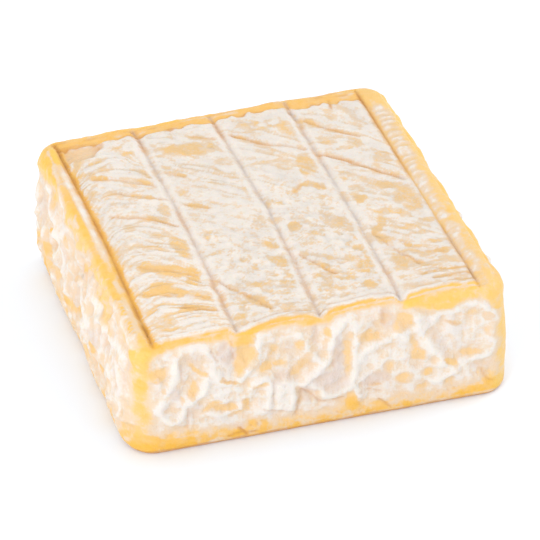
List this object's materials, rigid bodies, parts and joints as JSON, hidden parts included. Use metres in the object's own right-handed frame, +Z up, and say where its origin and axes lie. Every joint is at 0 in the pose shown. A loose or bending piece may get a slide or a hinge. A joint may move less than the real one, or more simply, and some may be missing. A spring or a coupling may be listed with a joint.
{
  "type": "washed-rind cheese",
  "caption": "Square slab of soft washed-rind cheese, uncut, with a wrinkled, bloomed top, rack marks, raised rims and ropy folds round its sides.",
  "frame": {"origin": "centre of the base, in the middle of the slab's length and depth", "axes": "+X to the right along the front side, +Y from the front to the back along the rack marks, +Z up"},
  "size_m": [0.1166, 0.1104, 0.0404],
  "materials": {
    "rind": "matte, slightly damp rind under a powdery bloom"
  },
  "bodies": {
    "root": {"cheese": "rind"}
  },
  "joints": []
}
